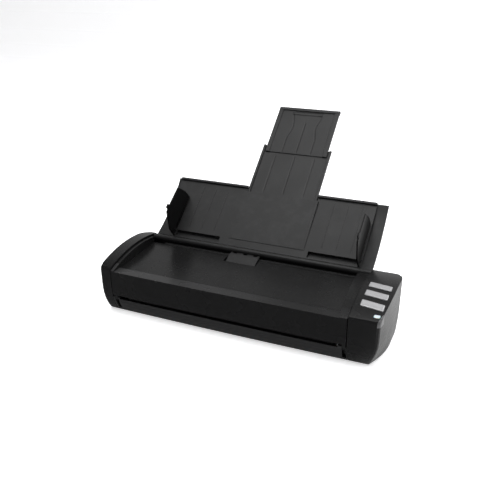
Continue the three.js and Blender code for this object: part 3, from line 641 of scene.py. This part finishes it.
def circle(radius, height, count=40):
    turn = 2 * math.pi / count
    return [(radius * math.cos(turn * i), radius * math.sin(turn * i), height) for i in range(count)]


FOOT_PROFILE = [(5, 0), (5, -0.5), (4.8, -0.95), (4.4, -1.2), (3.5, -1.2), (3.2, -0.9), (0.6, -0.9)]


def feet():
    for name in ("front_left", "front_right", "rear_left", "rear_right"):
        x, y, _ = middle(f"foot_{name}")
        bm = bmesh.new()
        loft(bm, [circle(radius, z) for radius, z in FOOT_PROFILE])
        publish(f"rubber_foot_{name}", bm, Matrix.Translation((x, y, 0)), "rubber", "base", [f"foot_{name}"])


RIB_COUNT = 44
TYRE_CHAMFER, TYRE_SHOULDER = 0.7, 0.9
TYRE_BORES = {"feed": 2.6, "exit": 2.1}


def ribbed_ring(radius, height, depth=0.3):
    """A ring that steps between its radius and the depth below it, once for every rib."""
    turn = math.pi / RIB_COUNT
    points = []
    for i in range(2 * RIB_COUNT):
        reach = radius - depth * (i % 2)
        points.append((reach * math.cos(turn * i), reach * math.sin(turn * i), height))
    return points


def tyres():
    """Ribbed drive tyres: turned about Z, then laid along X."""
    count = 2 * RIB_COUNT
    for roller, bore in TYRE_BORES.items():
        for side in ("left", "right"):
            node = f"{roller}_tyre_{side}"
            half, radius, _ = half_size(node)
            face, shoulder = half - TYRE_CHAMFER, radius - TYRE_SHOULDER
            rings = [circle(bore, -half, count), circle(shoulder, -half, count),
                     ribbed_ring(radius, -face), ribbed_ring(radius, face),
                     circle(shoulder, half, count), circle(bore, half, count)]
            bm = bmesh.new()
            loft(bm, rings, closed=True)
            place = Matrix.Translation(middle(node)) @ Matrix.Rotation(math.pi / 2, 4, "Y")
            publish(f"{roller}_ribbed_tyre_{side}", bm, place, "rubber", f"{roller}_roller", [node],
                    sharp_deg=20.0)


# low and high are (s, m) corners
PANEL_RIBS = {"xs": (-100, -84, -68, 60, 76, 92), "half": 0.5, "low": (12, -0.1), "high": (68, 0.22),
              "round": 0.1}
GUIDE_MARKS = {"xs": (-64, -76, -88, -100, 54, 66, 78, 90), "half": 0.2, "low": (6.2, -0.1),
               "high": (8.4, 0.12), "round": 0.05}


def panel_ribs():
    """Low ribs that carry the sheet on the chute panel, and marks beside the guide slots."""
    bm = bmesh.new()
    for bars in (PANEL_RIBS, GUIDE_MARKS):
        for x in bars["xs"]:
            block(bm, (x - bars["half"], *bars["low"]), (x + bars["half"], *bars["high"]), bars["round"], 1)
    publish("panel_ribs", bm, PANEL, "satin_black_plastic", "chute")


# both are measured from the middle of their socket
DATA_TONGUE = ((-4.2, -2.0, -0.6), (4.2, 3.4, 0.6))
POWER_PIN = [(1.0, -2.0), (1.0, 3.2), (0.8, 3.7), (0.4, 3.9)]


def socket_contacts():
    """The tongue in the data socket and the pin in the power socket."""
    bm = bmesh.new()
    block(bm, *DATA_TONGUE, 0.15, 1)
    publish("data_tongue", bm, Matrix.Translation(middle("data_socket")), "matte_black_plastic", "base")
    bm = bmesh.new()
    loft(bm, [circle(radius, height, 24) for radius, height in POWER_PIN])
    place = Matrix.Translation(middle("power_socket")) @ about_x(-math.pi / 2)
    publish("power_pin", bm, place, "steel", "base")


RATING_PLATE = ((-28.5, -18, 0.25), (-12.5, 18, 0.62))


def rating_plate():
    """A blank plate on the underside."""
    bm = bmesh.new()
    block(bm, *RATING_PLATE, 0.08, 1)
    publish("rating_plate", bm, Matrix.Identity(4), "button_silver", "base")


upper_stage()
lower_stage()
fins()
buttons()
status_lens()
feet()
tyres()
panel_ribs()
socket_contacts()
rating_plate()

# ---------------------------------------------------------------- stage, light and camera

CAMERA_AIM = Vector((-0.0024, 0.0222, 0.0634))
CAMERA_AZIMUTH = math.radians(23.11)
CAMERA_ELEVATION = math.radians(24.2)
CAMERA_DISTANCE = 0.66
CAMERA_LENS, CAMERA_SENSOR, CAMERA_SHIFT = 45.02, 36, (-0.0068, 0.0113)
FLOOR_Z = cad_box[0][2]
FLOOR = {"half": 6.0, "front": -4.0, "back": 2.2, "height": 4.0, "radius": 0.9}


def shade_reflections(g):
    """Mirrored, the floor is dark in front of the scanner, bright to its right, mid grey at the back."""
    split = g.nodes.new("ShaderNodeSeparateXYZ")
    g.links.new(g.coords, split.inputs[0])
    beside = g.remap(split.outputs["X"], 0.125, 0.2, 0.2, 1.5)
    behind = g.remap(split.outputs["Y"], 0.2, 1.4, 0.0, 0.6)
    mirrored = g.nodes.new("ShaderNodeEmission")
    g.links.new(g.math("MAXIMUM", beside, behind), mirrored.inputs["Strength"])
    choose = g.nodes.new("ShaderNodeMixShader")
    g.links.new(g.nodes.new("ShaderNodeLightPath").outputs["Is Glossy Ray"], choose.inputs[0])
    g.links.new(g.bsdf.outputs[0], choose.inputs[1])
    g.links.new(mirrored.outputs[0], choose.inputs[2])
    g.links.new(choose.outputs[0], g.nodes["Material Output"].inputs["Surface"])


def stage():
    """The floor, which curves up into a backdrop."""
    mesh = bpy.data.meshes.new("floor")
    half, back, radius = FLOOR["half"], FLOOR["back"], FLOOR["radius"]
    profile = [(FLOOR["front"], 0.0), (back - radius, 0.0)]
    steps = 12
    for i in range(1, steps + 1):
        turn = math.pi / 2 * i / steps
        profile.append((back - radius + radius * math.sin(turn), radius * (1 - math.cos(turn))))
    profile.append((back, FLOOR["height"]))
    verts = [(x, y, FLOOR_Z + z) for y, z in profile for x in (-half, half)]
    faces = [(2 * i, 2 * i + 1, 2 * i + 3, 2 * i + 2) for i in range(len(profile) - 1)]
    mesh.from_pydata(verts, [], faces)
    floor = bpy.data.objects.new("floor", mesh)
    bpy.context.collection.objects.link(floor)
    g = Graph("studio_floor")
    g.set(Base_Color=grey(0.92), Roughness=0.75, Specular_IOR_Level=0.1,
          Emission_Color=(1, 1, 1, 1), Emission_Strength=0.55)
    shade_reflections(g)
    mesh.materials.append(g.material)


def area_light(name, place, aim, size, power, mirrored):
    data = bpy.data.lights.new(name, "AREA")
    data.shape = "RECTANGLE"
    data.size, data.size_y = size
    data.energy = power
    light = bpy.data.objects.new(name, data)
    light.location = place
    light.rotation_euler = (Vector(aim) - Vector(place)).to_track_quat("-Z", "Y").to_euler()
    light.visible_glossy = mirrored
    bpy.context.collection.objects.link(light)


WORLD_LEVEL = 0.03


def surroundings():
    """White to the camera, and a faint even fill for everything else."""
    world = bpy.data.worlds.new("studio")
    world.use_nodes = True
    nodes, links = world.node_tree.nodes, world.node_tree.links
    strength = nodes.new("ShaderNodeMath")
    strength.operation = "MAXIMUM"
    links.new(nodes.new("ShaderNodeLightPath").outputs["Is Camera Ray"], strength.inputs[0])
    strength.inputs[1].default_value = WORLD_LEVEL
    nodes["Background"].inputs["Color"].default_value = (1, 1, 1, 1)
    links.new(strength.outputs[0], nodes["Background"].inputs["Strength"])
    bpy.context.scene.world = world


LIGHTS = {
    "overhead": {"place": (0.1, -0.1, 1.5), "size": (1.8, 1.4), "power": 26, "mirrored": True},
    "back_left": {"place": (-1.1, 0.9, 1.0), "size": (1.0, 0.9), "power": 10, "mirrored": False},
    "right_side": {"place": (1.5, 0.35, 0.35), "size": (1.2, 0.8), "power": 12, "mirrored": False},
    "front_fill": {"place": (-0.5, -1.5, 0.8), "size": (1.2, 0.8), "power": 3, "mirrored": False},
}
LIGHT_AIM = (0, 0.02, 0.04)


def lights():
    for name, light in LIGHTS.items():
        area_light(name, light["place"], LIGHT_AIM, light["size"], light["power"], light["mirrored"])


def camera():
    data = bpy.data.cameras.new("camera")
    data.sensor_width = CAMERA_SENSOR
    data.lens = CAMERA_LENS
    data.shift_x, data.shift_y = CAMERA_SHIFT
    data.clip_start = 0.01
    eye = bpy.data.objects.new("camera", data)
    flat = math.cos(CAMERA_ELEVATION)
    back = Vector((math.sin(CAMERA_AZIMUTH) * flat, -math.cos(CAMERA_AZIMUTH) * flat,
                   math.sin(CAMERA_ELEVATION)))
    eye.location = CAMERA_AIM + back * CAMERA_DISTANCE
    eye.rotation_euler = (-back).to_track_quat("-Z", "Y").to_euler()
    bpy.context.collection.objects.link(eye)
    bpy.context.scene.camera = eye


stage()
surroundings()
lights()
camera()
bpy.context.scene.view_settings.view_transform = "Standard"
